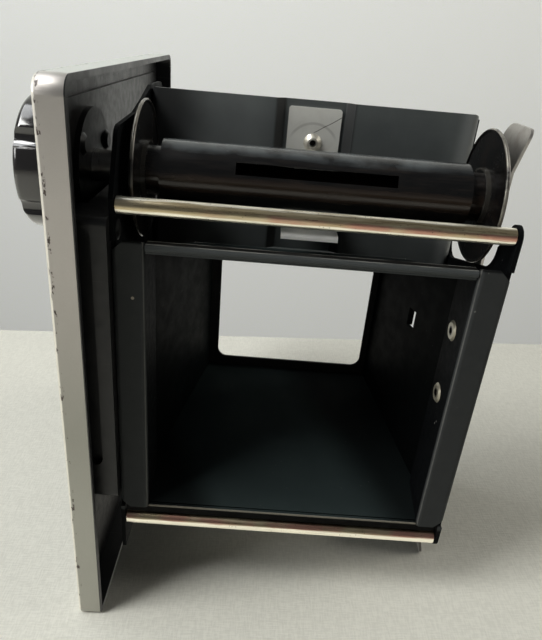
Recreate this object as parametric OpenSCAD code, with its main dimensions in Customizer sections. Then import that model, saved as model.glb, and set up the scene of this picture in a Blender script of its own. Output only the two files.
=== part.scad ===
// Roll-film carrier of a 6 x 6 box camera for 120 film, with its side cover and winding knob.
// Origin: centre of the film gate, on the film plane.
// X runs along the spools (side cover at -X), +Y points to the lens, +Z is up.

/* [Film gate] */
// Width of the picture opening, along X
gate_w = 57.5; // [54:0.5:60]
// Height of the picture opening
gate_h = 56.4; // [54:0.2:58]
// Width of each film rail beside the opening
rail_w = 5.75; // [5:0.25:7]
// Depth of the return flange that runs from each rail into the tunnel
rail_return = 10; // [8:0.5:11]
// Outside radius of the folds along a rail
fold_r = 0.9; // [0.85:0.05:1.2]

/* [Light tunnel] */
// Distance from the film plane to the front of the tunnel
tunnel_len = 41.5; // [39:0.5:44]
// Inside half width of the tunnel at its front end
tunnel_front_half_w = 20.7; // [20:0.1:22]
// Inside half height of the tunnel at its front end
tunnel_front_half_h = 16.8; // [16:0.1:18]
// Thickness of the tunnel's sheet
tunnel_t = 0.6; // [0.5:0.1:0.8]
// Thickness of the rolled lip over the opening
lip_t = 1.3; // [1:0.1:1.6]
// Height of the rolled lip's underside above the opening
lip_rise = 0.3; // [0:0.1:0.5]
// Width of the front aperture
aperture_w = 37.6; // [34:0.2:39]
// Height of the front aperture
aperture_h = 28.6; // [24:0.2:30]
// Sideways offset of the front aperture
aperture_shift = 0.4; // [-0.4:0.1:0.6]
// Corner radius of the front aperture
aperture_r = 2.4; // [1.5:0.1:4]

/* [Cheeks] */
// Thickness of the two cheeks and of the rails folded from them
cheek_t = 0.8; // [0.6:0.1:0.8]
// Front edge of both cheeks, from the film plane
cheek_front = 45; // [44.5:0.5:50]
// Height of the left cheek's top edge where it meets the back plate
left_top = 52.2; // [51:0.1:53]
// Depth of the left cheek's lower edge below the gate's centre
left_bottom = 46; // [44.5:0.5:50]
// Width of the round ears on the right cheek, which carry the rollers
ear_w = 4.4; // [4:0.1:5]
// Width of the right cheek beside the rail, at the foot of an ear
ear_foot_w = 7.6; // [6:0.1:8]

/* [Rollers] */
// Radius of the film rollers
roller_r = 1.5; // [1.3:0.05:1.6]
// Radius of the pins at a roller's ends
roller_pin_r = 0.85; // [0.7:0.05:0.9]
// Height of the upper roller above the gate's centre
upper_roller_z = 36; // [35:0.1:36.4]
// Depth of the lower roller's axis below the picture opening
lower_roller_z = 4.7; // [4.3:0.1:6.8]

/* [Film spool] */
// Distance from the film plane to the spool axes
spool_y = 16.4; // [16:0.1:17]
// Height of the take-up spool's axis above the gate's centre
spool_z = 38.9; // [38.5:0.1:39.3]
// How much nearer to the gate the supply chamber lies
chamber_shift = 1.9; // [1:0.1:2.2]
// Overall length of the spool
spool_len = 65.9; // [65.5:0.1:66.2]
// Radius of the spool's flanges
flange_r = 12.5; // [12:0.1:12.7]
// Radius of the spool's core tube
core_r = 5.9; // [5.5:0.1:6.2]
// Length of the wide part of the core tube
core_len = 56.4; // [54:0.2:58]
// Length of the film slot in the core
slot_len = 29.2; // [24:0.2:44]
// Width of the film slot
slot_w = 2.2; // [1.6:0.1:2.6]
// Angle of the film slot above the line towards the film
slot_tilt = 26.5; // [0:0.5:60]
// Radius of the holes at the spool's ends
spool_hole_r = 2.58; // [2.5:0.02:2.8]

/* [Chamber back plates and leaf springs] */
// Distance from the film plane to the back plates
back_y = 32; // [31.5:0.1:33.5]
// Height of the back plates' outer edge from the gate's centre
back_top = 52; // [51:0.1:53]
// Thickness of the back plates' sheet
back_t = 0.6; // [0.5:0.1:0.7]
// Radius of the folds at the back plates' sides
back_fold_r = 1.6; // [1.2:0.1:2.6]
// Depth of the pressed channel that holds the leaf spring
channel_d = 1.2; // [1:0.1:1.5]
// Width of the leaf springs
leaf_w = 11; // [10:0.2:12.2]
// Thickness of the leaf springs
leaf_t = 0.35; // [0.3:0.05:0.4]
// Distance of the rivet and the top of the leaf from the gate's centre
leaf_rivet_z = 43.6; // [43:0.1:45]

/* [Side cover] */
// Height of the side cover
cover_h = 112; // [110:0.5:118]
// Depth of the side cover, along Y
cover_d = 90.6; // [88:0.2:94]
// How far the cover reaches behind the film plane
cover_back = 5.7; // [5:0.1:7]
// Depth of the cover's rim, along X
cover_rim = 5.1; // [5:0.1:6]
// Thickness of the cover's sheet
cover_t = 1.1; // [0.9:0.05:1.2]
// Radius of the cover's two upper corners
cover_r = 3; // [2:0.25:4]
// Radius of the cover's two lower corners
cover_foot_r = 1; // [0.75:0.25:2]
// Gap between the cover's rim and the left cheek
cover_gap = 3.9; // [3.5:0.1:4.2]
// Border between the cover's outline and its inner panel
panel_border = 4.4; // [4:0.1:6]
// Thickness of the inner panel
panel_t = 0.5; // [0.4:0.1:0.6]
// Thickness of the outer leather cloth covering
covering_t = 0.45; // [0.3:0.05:0.6]

/* [Winding knob] */
// Radius of the winding knob
knob_r = 12; // [11:0.25:13]
// Thickness of the winding knob
knob_h = 7.8; // [6:0.2:9]
// Number of lobes round the knob
knob_lobes = 6; // [5:1:8]
// Radius of the winding shaft
shaft_r = 2.95; // [2.8:0.05:3.2]
// How far the knob pulls out to free the spool
pull_out = 5; // [4.6:0.1:5]

/* [Spring arms] */
// Thickness of the spring arms
arm_t = 0.6; // [0.5:0.05:0.8]
// Height of the spring arms' riveted foot from the gate's centre
arm_foot = 3; // [2:0.5:6]
// Width of the finger tab
tab_w = 11.4; // [9:0.2:12.4]
// Radius of the finger tab's corner towards the film
tab_r = 1.6; // [1:0.1:3]
// Radius of the finger tab's corner towards the lens
tab_front_r = 3; // [1:0.1:4]
// Height of the tab's tip from the gate's centre
tab_top = 52.2; // [51.5:0.1:53]
// Angle at which the finger tab stands out
tab_angle = 14; // [8:0.5:16]

/* [Hidden] */
$fn = 48;

// Clearances
eps = 0.01;          // overlap of a cut past the face it opens
run_gap = 0.05;      // running clearance of pins and shafts, on the radius
side_gap = 0.25;     // end play of the rollers
spool_gap = 0.08;    // running clearance of a spool on its studs
flex_gap = 0.12;     // clearance round rivets that move with a spring
key_gap = 0.2;       // clearance of the winding key in its slot
roller_gap = 0.5;    // clearance of the tunnel's lower lip over the roller
core_gap = 0.05;     // clearance of a back plate round the tunnel
fillet = 0.5;        // least radius of an inner corner

// Gate and cheeks
half_w = gate_w / 2;
half_h = gate_h / 2;
cheek_x = half_w + rail_w;              // outer face of a cheek
cheek_in = cheek_x - cheek_t;           // inner face of a cheek
flange_x = half_w + cheek_t;            // outer face of a rail's return flange
rail_top = half_h + lip_rise + lip_t + 0.3; // upper end of the rails
rail_foot = half_h + 0.8;               // lower end of the rails
rail_clip = 2;                          // relief cut where a rail's outer fold ends
roller_y = roller_r;                    // the rollers touch the film plane
lower_axis_z = half_h + lower_roller_z; // depth of the lower roller's axis
ear_over = roller_r + 0.4;              // cheek above the upper roller's axis
ear_under = roller_r + 0.6;             // cheek below the lower roller's axis
ear_straight = 0.8;                     // straight side of an ear
notch_rim = 2.1;                        // right cheek left above the tunnel's roof
notch_front = back_y + 3;               // front edge of the spool notches
notch_r = [5.5, 3.5];                   // rear and front corner radii of the spool notches
post_drop = 1.2;                        // front posts end below the back plates
post_r = 2;                             // corner radius of the front posts
ear_slant = 4;                          // lean of the left cheek's rear edge above the roller
left_ear_h = 46.6;                      // height of the left cheek's rear corner
left_ear_r = 3;                         // radius of the left cheek's rear corner
left_rise = [[18.2, 2], [25.9, 3.7]];   // upper edge, as distance and rise from that corner
left_foot = 40.5;                       // depth of the left cheek's rear lower corner
left_foot_r = 4;                        // radius of the left cheek's lower edge
knob_hole_r = shaft_r + 2.05;           // hole for the winding key in the left cheek

// Tunnel
mouth_len = rail_return + 1;            // straight part of the tunnel's side walls
side_taper = (flange_x - tunnel_front_half_w) / (tunnel_len - mouth_len);
roof_taper = (half_h - tunnel_front_half_h) / tunnel_len;
tunnel_rear = cheek_t + 0.1;            // the tunnel starts behind the rails
lip_len = 2.4;
tunnel_lap = 0.5;                       // overlap of the folded lower lip with the floor
crimp_len = 2.5;                        // rim crimped over the tunnel's front edge
plate_r = 1.5;                          // corner radius of the aperture plate
front_flange = 2;                       // border of the aperture plate round the tunnel
slit_y = 24.3;                          // lanced slit in the right wall
slit_z = 8.9;
slit_l = 4.2;
slit_w = 2.8;

// Eyelets of the gate
eyelet_z = [15.3, 1.2];
eyelet_y = 6.3;
eyelet_head_r = 2.05;
eyelet_r = 1.15;
eyelet_hole_r = 0.65;
eyelet_head_t = 0.35;
eyelet_slope = 0.4;                     // slope of an eyelet's rolled head
eyelet_tail_r = 1.6;

// Spool
core_wall = 0.5;
neck_r = core_r - 1.3;
flange_t = 0.5;
bead_r = 0.35;
bead_in = 0.1;                          // rolled rim's centre from the flange's inner face
hub_w = 1;                              // width of a flange's sloping hub
supply_z = spool_z - chamber_shift;     // depth of the supply spool's axis
collar_t = 0.8;                         // depth and wall of the collar round the core's neck
flange_face = spool_len / 2 - 1.4;      // inner face of a spool flange
key_slot = [1.9, 8.4];                  // width and length of the key slot
key_depth = pull_out - 2;               // how far the key reaches into the spool

// Back plates and leaf springs
channel_half = 6.2;                     // half width of the channel's floor
channel_step = 1.8;                     // width of the channel's sloping side
back_flange = 11;                       // depth of the back plates' side flanges
back_drop = 6;                          // slope of the side flanges' top edge
back_corner_r = 1.2;
back_wing = 6;                          // back plate beside the tunnel, below its roof
back_foot = tunnel_h(back_y) + tunnel_t + core_gap;
channel_y = back_y + channel_d;         // floor of the channel
leaf_inset = 1.4;                       // back plate beyond the leaf's end
leaf_kink_z = leaf_rivet_z - 2.1;       // where the leaf leaves the channel
leaf_lean = 8;                          // lean of the free part of the leaf
leaf_straight = 5;                      // free straight part above the bend
leaf_bend_r = 8;
leaf_bend = 90 - leaf_lean;             // bend of the leaf under the spool
leaf_reach = 10.2;                      // flat part under the spool
leaf_corner_r = 0.6;
leaf_tip_r = 0.9;
leaf_lip = 0.3;                         // straight end of the bent-down tip
leaf_tip_turn = 170;                    // direction at which the tip's bend ends
leaf_shank_r = 1.3;
leaf_rivet_r = 1.9;
leaf_head_t = 0.9;
leaf_head_slope = 0.8;
leaf_hole_r = 0.7;
leaf_hole_d = 1.3;                      // depth of the hollow in the leaf's rivet
leaf_tail_t = 0.4;
rivet_play = 0.4;                       // play of the leaf's rivet in the back plate
back_bottom = back_top - chamber_shift; // depth of the lower back plate's edge
back_rivet_r = 1;
back_rivet_head = 0.9;                  // head beyond the shank
back_rivet_t = [0.5, 0.4];              // thickness of the outer and inner heads
back_rivet_y = back_y + 6;
back_rivet_in = 4;                      // rivets from the ends of a back plate

// Side cover
rim_x = -(cheek_x + cover_gap);         // plane of the cover's rim
cover_x = rim_x - cover_rim;            // outer face of the cover
pan_x = cover_x + cover_t;              // inner face of the cover
panel_x = pan_x + panel_t;              // inner face of the panel
cover_y0 = -cover_back;
cover_y1 = cover_d - cover_back;
cover_edge = 0.8;                       // rounding of the cover's outer edge
covering_border = 3;                    // bare rim round the covering

// Winding parts
bush_disc_r = 10.3;
bush_disc_t = 1;
bush_tube_r = 4.5;
bush_rivet_r = 1.3;
bush_rivet_pitch = 8.3;
bush_rivet_angle = 24;
bush_head_t = 0.6;
bush_head_rim = 0.7;                    // head of a bush rivet beyond its shank
knob_dish = [2.4, 0.8];                 // width and depth of the dish round the screw
knob_groove_r = 2;
knob_groove_out = 0.7;                  // grooves' centres outside the knob's radius
washer_t = 0.35;
washer_r = 6.5;
knob_x = cover_x - washer_t - 0.1;      // base of the knob
knob_edge = 1.2;
groove_angle = 31;                      // first groove, from +Y towards +Z
collar_x = -(cheek_x + 0.15);           // inner face of the shaft's collar
collar_r = shaft_r + 1.45;
collar_len = 1;
key_tip = -(spool_len / 2 - key_depth);
key_taper = 0.8;
screw_r = 1.2;
screw_len = 4;
screw_head_r = 2.8;
screw_head_t = 0.9;
screw_slope = 0.5;
screw_slot = 0.8;
screw_neck = 0.6;
screw_sink = 0.8;                       // screw's head below the knob's face

// Spacer between cover and cheek
spacer_t = 0.8;
spacer_r = 1.2;
spacer_y0 = -2;
spacer_y1 = back_y + 1.5;
spacer_z0 = -25;
spacer_z1 = spool_z - collar_r - 0.2;
spacer_flange = 6;
groove_w = 3;
groove_d = 1.4;
groove_z0 = spacer_z0 + 10;
groove_z1 = spacer_z1 - 3.2;
groove_x = panel_x + 3.2;
spacer_rivet_r = 1;
spacer_rivet_head = 0.8;                // head beyond the shank
spacer_rivet_t = [0.5, 0.3];            // thickness of the heads on spacer and cheek
spacer_rivet_in = 3;                    // rivets from the spacer's outline
spacer_rear_in = 4.8;                   // rivets from the spacer's rear wall
bush_clear = 0.3;                       // clearance of the spacer round the bush

// Spring arms
arm_x = cheek_x;                        // inner face of the arms
arm_foot_w = 10;
arm_foot_h = 9;
arm_foot_r = 1.5;
arm_shoulder = 3;                       // height of the slope from foot to stem
arm_neck_h = 9;                         // height of the slope from stem to tab
arm_y = spool_y + 2.6;                  // centre line of the arm's foot
stem_y = [spool_y - 0.9, spool_y + 5.1]; // edges of the stem
tab_offset = 1.5;                       // tab's centre line ahead of the stud
tab_y = [spool_y + tab_offset - tab_w / 2, spool_y + tab_offset + tab_w / 2];
tab_z = tab_top - 7.6;                  // where the tab starts to stand out
arm_rivet_r = 1;
arm_rivet_z = arm_foot + 3;
arm_rivet_pitch = 5;
arm_rivet_head = 0.8;                   // head beyond the shank
arm_rivet_t = 0.6;
stud_in = 4.2;                          // reach of a stud from the cheek's outer face
stud_r = spool_hole_r - spool_gap;
stud_taper = 1.6;                       // length of a stud's tapered end
stud_neck_r = 1.8;
stud_point = 0.9;                       // narrowing of a stud's tapered end
stud_head = 0.8;

// ---- Helpers ----

// Half height and half width of the tunnel's inside at a distance y from the film plane
function tunnel_h(y) = half_h - y * roof_taper;
function tunnel_w(y) = flange_x - max(0, y - mouth_len) * side_taper;
// Points of an arc
function arc(c, r, a0, a1, n = 8) =
    [for (i = [0:n]) let (a = a0 + (a1 - a0) * i / n) c + r * [cos(a), sin(a)]];

// A sheet whose outline is drawn in (y, z), from x to x + t
module side_sheet(x, t) {
    translate([x, 0, 0]) rotate([90, 0, 90]) linear_extrude(t) children();
}

// A sheet whose outline is drawn in (x, z), from y to y + t
module front_sheet(y, t) {
    translate([0, y + t, 0]) rotate([90, 0, 0]) linear_extrude(t) children();
}

// A cylinder along X from x0 to x1
module x_rod(x0, x1, y, z, r, r2 = undef) {
    translate([x0, y, z]) rotate([0, 90, 0])
        cylinder(h = x1 - x0, r1 = r, r2 = is_undef(r2) ? r : r2);
}

// A cylinder along Y from y0 to y1
module y_rod(y0, y1, x, z, r, r2 = undef) {
    translate([x, y0, z]) rotate([-90, 0, 0])
        cylinder(h = y1 - y0, r1 = r, r2 = is_undef(r2) ? r : r2);
}

// A rectangle with round corners, from p to q
module round_rect(p, q, r) {
    translate(p + [r, 0]) square([q[0] - p[0] - 2 * r, q[1] - p[1]]);
    translate(p + [0, r]) square([q[0] - p[0], q[1] - p[1] - 2 * r]);
    for (x = [p[0] + r, q[0] - r], y = [p[1] + r, q[1] - r]) translate([x, y]) circle(r);
}

// Its children and their mirror image on the other side
module both_sides() {
    children();
    mirror([1, 0, 0]) children();
}

// Mirrors its children from the take-up spool's axis to the supply spool's axis
module lower() {
    translate([0, 0, chamber_shift]) mirror([0, 0, 1]) children();
}

// ---- Side cover ----

module cover_outline(inset) {
    y = [cover_y0 + inset, cover_y1 - inset];
    z = cover_h / 2 - inset;
    round_rect([y[0], -z], [y[1], 0], max(cover_foot_r - inset, fillet));
    round_rect([y[0], -2 * cover_r], [y[1], z], max(cover_r - inset, fillet));
}

module cover_pan() {
    color([0.72, 0.71, 0.69]) difference() {
        union() {
            side_sheet(cover_x + cover_edge, cover_rim - cover_edge) cover_outline(0);
            hull() {
                side_sheet(cover_x, 0.1) cover_outline(cover_edge);
                side_sheet(cover_x + 0.25 * cover_edge, 0.1) cover_outline(0.35 * cover_edge);
                side_sheet(cover_x + cover_edge - 0.1, 0.1) cover_outline(0);
            }
        }
        side_sheet(pan_x, cover_rim) cover_outline(cover_t);
        x_rod(cover_x - 1, pan_x + 1, spool_y, spool_z, bush_tube_r + eps);
        bush_rivet_places() x_rod(cover_x - 1, pan_x + 1, 0, 0, bush_rivet_r);
        spacer_rivet_places() x_rod(cover_x - 1, pan_x + 1, 0, 0, spacer_rivet_r);
    }
}

module side_covering() {
    color([0.08, 0.08, 0.085]) difference() {
        side_sheet(cover_x - covering_t, covering_t) cover_outline(covering_border);
        x_rod(cover_x - 1, cover_x + 1, spool_y, spool_z, knob_r + 1);
    }
}

module inner_panel() {
    color([0.07, 0.075, 0.08]) difference() {
        side_sheet(pan_x, panel_t) cover_outline(panel_border);
        x_rod(pan_x - 1, panel_x + 1, spool_y, spool_z, bush_tube_r + eps);
        bush_rivet_places() x_rod(pan_x - 1, panel_x + 1, 0, 0, bush_rivet_r);
        spacer_rivet_places() x_rod(pan_x - 1, panel_x + 1, 0, 0, spacer_rivet_r);
    }
}

// ---- Spacer ----

module spacer_outline(inset) {
    round_rect([spacer_y0 + inset, spacer_z0 + inset],
               [spacer_y1 - inset, spacer_z1 - inset], spacer_r);
}

module spacer_rivet_places() {
    for (y = [spacer_y0 + spacer_rear_in, spacer_y1 - spacer_rivet_in],
         z = [spacer_z0 + spacer_rivet_in, spacer_z1 - spacer_rivet_in])
        translate([0, y, z]) children();
}

module spacer_frame() {
    flange_in = spacer_t + spacer_flange;
    color([0.07, 0.075, 0.08]) difference() {
        side_sheet(panel_x, -cheek_x - panel_x) spacer_outline(0);
        difference() {
            side_sheet(panel_x + spacer_t, -cheek_x - panel_x - 2 * spacer_t)
                spacer_outline(spacer_t);
            // wall behind the stiffening groove
            translate([groove_x - groove_w / 2 - spacer_t, spacer_y0, spacer_z0])
                cube([groove_w + 2 * spacer_t, groove_d + spacer_t, spacer_z1 - spacer_z0]);
        }
        side_sheet(panel_x - 1, -cheek_x - panel_x + 2) spacer_outline(flange_in);
        // notch round the bush's disc and rivets
        x_rod(panel_x - 1, panel_x + bush_disc_t + bush_head_t + bush_clear,
              spool_y, spool_z, bush_disc_r + bush_clear);
        // stiffening groove in the rear wall
        front_sheet(spacer_y0 - 1, groove_d + 1) {
            translate([groove_x - groove_w / 2, groove_z0])
                square([groove_w, groove_z1 - groove_z0]);
            for (z = [groove_z0, groove_z1]) translate([groove_x, z]) circle(groove_w / 2);
        }
        spacer_rivet_places() x_rod(panel_x - 1, -cheek_x + 1, 0, 0, spacer_rivet_r);
    }
}

module spacer_rivets() {
    head_r = spacer_rivet_r + spacer_rivet_head;
    color([0.12, 0.12, 0.125]) spacer_rivet_places() {
        x_rod(cover_x, panel_x + spacer_t, 0, 0, spacer_rivet_r);
        x_rod(panel_x + spacer_t, panel_x + spacer_t + spacer_rivet_t[0], 0, 0,
              head_r, spacer_rivet_r);
        x_rod(-cheek_x - spacer_t, -cheek_in, 0, 0, spacer_rivet_r);
        x_rod(-cheek_in, -cheek_in + spacer_rivet_t[1], 0, 0, head_r, spacer_rivet_r);
    }
}

// ---- Cheeks ----

// Rail, its folds and its return flange, on the +X side, drawn in (x, y)
module rail_section() {
    inner_r = fold_r - cheek_t;
    intersection() {
        difference() {
            round_rect([half_w, 0], [cheek_x, 4 * fold_r], fold_r);
            round_rect([half_w + cheek_t, cheek_t],
                       [cheek_x - cheek_t, 5 * fold_r], inner_r);
        }
        translate([half_w, 0]) square([rail_w, 2 * fold_r]);
    }
}

module rail() {
    difference() {
        translate([0, 0, -rail_foot]) linear_extrude(rail_foot + rail_top) rail_section();
        // relief cuts at the ends of the outer fold
        for (z = [rail_top, -rail_foot]) translate([cheek_x, 0, z]) rotate([0, 45, 0])
            cube([rail_clip * sqrt(2), 6 * fold_r, rail_clip * sqrt(2)], center = true);
        // room for the tunnel's roof and floor
        for (s = [0, 1]) mirror([0, 0, s])
            translate([half_w - 1, tunnel_rear - eps, tunnel_h(2 * fold_r)])
                cube([cheek_t + 1 + eps, 2 * fold_r, gate_h]);
    }
    side_sheet(half_w, cheek_t) polygon([
        [fold_r, -tunnel_h(fold_r)], [rail_return, -tunnel_h(rail_return)],
        [rail_return, tunnel_h(rail_return)], [fold_r, tunnel_h(fold_r)]]);
}

module eyelet_places() {
    for (z = eyelet_z) translate([0, eyelet_y, z]) children();
}

// Holes shared by both cheeks
module cheek_holes() {
    for (z = [upper_roller_z, -lower_axis_z])
        x_rod(cheek_in - 1, cheek_x + 1, roller_y, z, roller_pin_r + run_gap);
    back_rivet_places() x_rod(cheek_in - 1, cheek_x + 1, 0, 0, back_rivet_r);
}

// Half of the right cheek's outline: ear that reaches out to top, notch for the spool,
// and a front post
function right_half(top, post_h) = let (
        ear_r = ear_w / 2,
        rear = ear_foot_w + notch_r[0],
        front = notch_front - notch_r[1],
        slope = atan(roof_taper))
    concat(
        [[0, 0]],
        arc([ear_r, top - ear_r], ear_r, 180, 0, 12),
        [[ear_w, top - ear_r - ear_straight]],
        arc([rear, tunnel_h(rear) + notch_rim + notch_r[0]], notch_r[0], 180, 270 - slope),
        arc([front, tunnel_h(front) + notch_rim + notch_r[1]], notch_r[1], 270 - slope, 360),
        [[notch_front, post_h]],
        arc([cheek_front - post_r, post_h - post_r], post_r, 90, 0),
        [[cheek_front, 0]]);

module right_outline() {
    polygon(right_half(upper_roller_z + ear_over, back_top - post_drop));
    mirror([0, 1]) polygon(right_half(lower_axis_z + ear_under, back_bottom - post_drop));
}

// Left cheek's outline
module left_outline() {
    polygon(concat(
        [[0, -left_foot], [0, upper_roller_z + ear_over - 0.6]],
        arc([ear_slant + left_ear_r, left_ear_h - left_ear_r / 2], left_ear_r, 170, 100, 5),
        [for (p = left_rise) [p[0], left_ear_h + p[1]]],
        [[back_y + 1, left_top]],
        arc([cheek_front - post_r, left_top - post_r], post_r, 90, 0),
        arc([cheek_front - post_r, -left_bottom + post_r], post_r, 0, -90),
        arc([spool_y, -left_bottom + left_foot_r], left_foot_r, -90, -135, 4),
        [[spool_y / 2, -left_foot], [1, -left_foot]]));
}

// Trims the flat cheek behind the folded rail
module fold_clear() {
    translate([-1, -rail_foot]) square([1 + fold_r, rail_foot + rail_top]);
}

module right_cheek() {
    color([0.11, 0.115, 0.12]) difference() {
        union() {
            rail();
            side_sheet(cheek_in, cheek_t) difference() {
                right_outline();
                fold_clear();
            }
        }
        cheek_holes();
        eyelet_places() x_rod(half_w - 1, flange_x + 1, 0, 0, eyelet_r);
        arm_rivet_holes();
        lower() arm_rivet_holes();
    }
}

module left_cheek() {
    color([0.11, 0.115, 0.12]) mirror([1, 0, 0]) difference() {
        union() {
            rail();
            side_sheet(cheek_in, cheek_t) difference() {
                left_outline();
                fold_clear();
            }
        }
        cheek_holes();
        x_rod(cheek_in - 1, cheek_x + 1, spool_y, spool_z, knob_hole_r);
        x_rod(cheek_in - 1, cheek_x + 1, spool_y, -supply_z, stud_neck_r);
        mirror([1, 0, 0]) spacer_rivet_places() x_rod(-cheek_x - 1, -cheek_in + 1, 0, 0,
                                                      spacer_rivet_r);
    }
}

// ---- Light tunnel ----

// Solid of the tunnel's inside made larger by grow, from y0 to y1
module tunnel_solid(grow, y0, y1) {
    intersection() {
        translate([0, 0, -gate_h]) linear_extrude(2 * gate_h) polygon([
            [-tunnel_w(y0) - grow, y0], [-flange_x - grow, mouth_len],
            [-tunnel_w(y1) - grow, y1], [tunnel_w(y1) + grow, y1],
            [flange_x + grow, mouth_len], [tunnel_w(y0) + grow, y0]]);
        side_sheet(-gate_w, 2 * gate_w) polygon([
            [y0, -tunnel_h(y0) - grow], [y1, -tunnel_h(y1) - grow],
            [y1, tunnel_h(y1) + grow], [y0, tunnel_h(y0) + grow]]);
    }
}

module light_tunnel() {
    lip_half = half_w - 0.1;
    lip_z = half_h + lip_rise + lip_t / 2;
    lip_foot = lower_axis_z - roller_r - roller_gap;
    color([0.06, 0.065, 0.065]) difference() {
        union() {
            difference() {
                tunnel_solid(tunnel_t, tunnel_rear, tunnel_len);
                tunnel_solid(0, tunnel_rear - 1, tunnel_len + 1);
            }
            // rolled upper lip
            difference() {
                union() {
                    x_rod(-lip_half, lip_half, lip_t / 2, lip_z, lip_t / 2);
                    translate([-lip_half, lip_t / 2, half_h - lip_t / 2])
                        cube([2 * lip_half, lip_len - lip_t / 2, lip_z - half_h + lip_t]);
                }
                tunnel_solid(0, -1, tunnel_len);
            }
            // plain lower lip
            translate([-lip_half, 0, -half_h - tunnel_t])
                cube([2 * lip_half, tunnel_rear + tunnel_lap, tunnel_t]);
            // flange folded down from it, behind the rails
            front_sheet(tunnel_rear, tunnel_t)
                round_rect([-cheek_in + side_gap, -lip_foot],
                           [cheek_in - side_gap, -half_h - core_gap], tunnel_t);
        }
        eyelet_places() x_rod(half_w - 1, flange_x + 2, 0, 0, eyelet_r);
        // lanced slot in the right wall
        translate([tunnel_w(slit_y) - 2, slit_y - slit_w / 2, slit_z - slit_l / 2])
            cube([4, slit_w, slit_l]);
    }
}

module aperture_plate() {
    outer_w = tunnel_front_half_w + tunnel_t;
    outer_h = tunnel_front_half_h + tunnel_t;
    color([0.05, 0.055, 0.055]) difference() {
        union() {
            front_sheet(tunnel_len, tunnel_t)
                round_rect([-outer_w - front_flange, -outer_h - front_flange],
                           [outer_w + front_flange, outer_h + front_flange], plate_r);
            // rim crimped over the tunnel's front edge
            difference() {
                tunnel_solid(2 * tunnel_t, tunnel_len - crimp_len, tunnel_len);
                tunnel_solid(tunnel_t, tunnel_len - crimp_len - 1, tunnel_len + 1);
            }
        }
        front_sheet(tunnel_len - 1, 3)
            round_rect([aperture_shift - aperture_w / 2, -aperture_h / 2],
                       [aperture_shift + aperture_w / 2, aperture_h / 2], aperture_r);
    }
}

module gate_eyelets() {
    color([0.66, 0.62, 0.5]) eyelet_places()
        difference() {
            union() {
                x_rod(half_w - eyelet_head_t, half_w, 0, 0,
                      eyelet_head_r - eyelet_slope, eyelet_head_r);
                x_rod(half_w, flange_x + tunnel_t, 0, 0, eyelet_r);
                x_rod(flange_x + tunnel_t, flange_x + tunnel_t + eyelet_head_t, 0, 0,
                      eyelet_tail_r, eyelet_tail_r - eyelet_slope);
            }
            x_rod(half_w - 1, flange_x + 2, 0, 0, eyelet_hole_r);
        }
}

// ---- Back plates of the spool chambers ----

module back_rivet_places() {
    for (z = [back_top - back_rivet_in, back_foot + back_rivet_in,
              -back_foot - back_rivet_in, -back_bottom + back_rivet_in])
        translate([0, back_rivet_y, z]) children();
}

// Rear surface of a back plate as a curve in (x, y), moved forward by inset
function back_curve(inset) = let (
        side = cheek_in - inset, r = back_fold_r - inset,
        fold = [cheek_in - back_fold_r, back_y + back_fold_r],
        edge = channel_half + channel_step)
    concat(
        [[-side, back_y + 3 * back_flange]],
        [for (p = arc(fold, r, 0, -90)) [-p[0], p[1]]],
        [[-edge, back_y + inset], [-channel_half, channel_y + inset],
         [channel_half, channel_y + inset], [edge, back_y + inset]],
        arc(fold, r, -90, 0),
        [[side, back_y + 3 * back_flange]]);

// Side of a back plate in (y, z), with the upper edge of its flanges sloping to the front
function back_side(rim) = let (
        y0 = back_y + back_fold_r, y1 = back_y + back_flange,
        square_to = 90 - atan(back_drop / (y1 - y0)),
        y = y1 - back_corner_r,
        z = rim - (back_corner_r + (y - y0) * cos(square_to)) / sin(square_to))
    concat(
        [[0, back_foot - back_wing], [y1, back_foot - back_wing]],
        arc([y, z], back_corner_r, 0, square_to),
        [[y0, rim], [0, rim]]);

// Back plate whose outer edge is at the height rim
module back_plate(rim) {
    tunnel_side = tunnel_w(back_y) + tunnel_t + core_gap;
    color([0.12, 0.125, 0.13]) difference() {
        intersection() {
            linear_extrude(rim) difference() {
                polygon(back_curve(0));
                polygon(back_curve(back_t));
            }
            side_sheet(-gate_w, 2 * gate_w) polygon(back_side(rim));
            front_sheet(0, 2 * back_y)
                round_rect([-cheek_in, 0], [cheek_in, rim], back_corner_r);
        }
        // room for the tunnel between the lower wings
        translate([-tunnel_side, 0, 0]) cube([2 * tunnel_side, 2 * back_y, back_foot]);
        y_rod(back_y - 1, back_y + 4, 0, leaf_rivet_z, leaf_shank_r + flex_gap);
        for (z = [rim - back_rivet_in, back_foot + back_rivet_in])
            x_rod(-cheek_x - 1, cheek_x + 1, back_rivet_y, z, back_rivet_r);
    }
}

module upper_back_plate() {
    back_plate(back_top);
}

module lower_back_plate() {
    mirror([0, 0, 1]) back_plate(back_bottom);
}

module back_plate_rivets() {
    head_r = back_rivet_r + back_rivet_head;
    color([0.12, 0.12, 0.125]) both_sides() back_rivet_places() {
        x_rod(cheek_in - back_t, cheek_x, 0, 0, back_rivet_r);
        x_rod(cheek_x, cheek_x + back_rivet_t[0], 0, 0, head_r, back_rivet_r);
        x_rod(cheek_in - back_t - back_rivet_t[1], cheek_in - back_t, 0, 0,
              back_rivet_r, head_r);
    }
}

// ---- Leaf springs ----

// Centre line of the leaf from the kink down, as points in (y, z)
leaf_kink = [channel_y - leaf_t, leaf_kink_z];
leaf_dir = [-sin(leaf_lean), -cos(leaf_lean)];
leaf_end = leaf_kink + leaf_straight * leaf_dir;
leaf_centre = leaf_end + leaf_bend_r * [-cos(leaf_lean), sin(leaf_lean)];
leaf_low = leaf_centre + leaf_bend_r * [cos(leaf_lean + leaf_bend), -sin(leaf_lean + leaf_bend)];
leaf_flat = [-sin(leaf_lean + leaf_bend), -cos(leaf_lean + leaf_bend)];
leaf_tip = leaf_low + leaf_reach * leaf_flat;

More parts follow.
